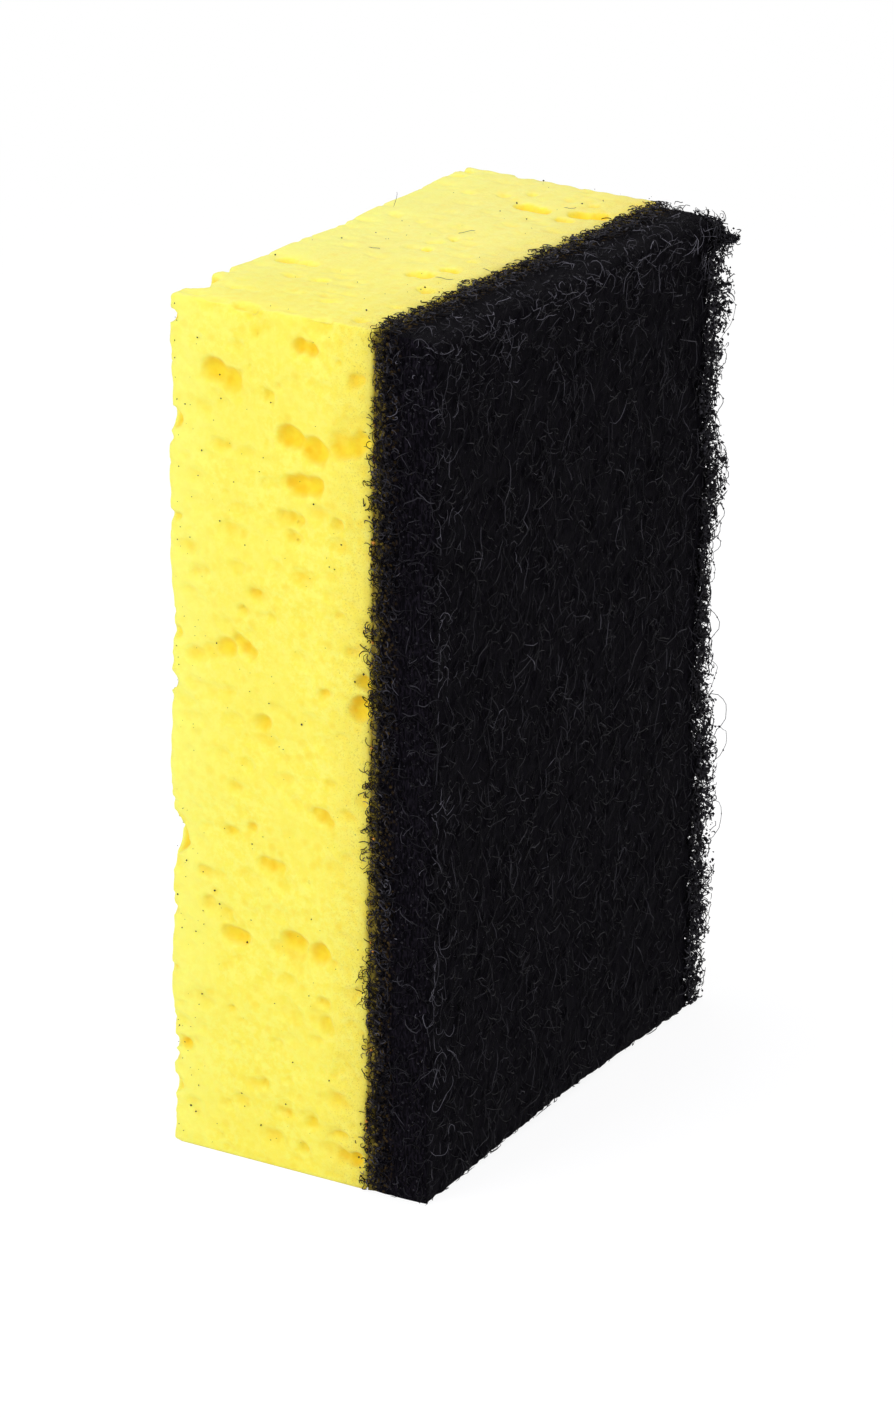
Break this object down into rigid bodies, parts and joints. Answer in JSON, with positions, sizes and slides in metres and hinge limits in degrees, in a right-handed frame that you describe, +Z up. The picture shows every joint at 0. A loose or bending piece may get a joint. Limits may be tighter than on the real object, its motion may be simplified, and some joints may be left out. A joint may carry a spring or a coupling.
{
  "type": "cleaning sponge",
  "caption": "Rectangular cleaning sponge: an open-cell foam block with a scouring pad of matted fibre glued to one broad face.",
  "frame": {"origin": "middle of the overall size, at the base of the lower end", "axes": "+Z up the length; X through the thickness, with the scouring pad on +X; Y across the width"},
  "size_m": [0.0358, 0.0712, 0.1092],
  "materials": {
    "foam": "matt lemon-yellow open-cell foam, golden in its deeper cells",
    "glue": "amber, dried adhesive",
    "pad": "near-black matted fibre with a thin sheen on each fibre"
  },
  "bodies": {
    "root": {"foam_block": "foam", "glue_film": "glue", "scouring_pad": "pad"}
  },
  "joints": []
}
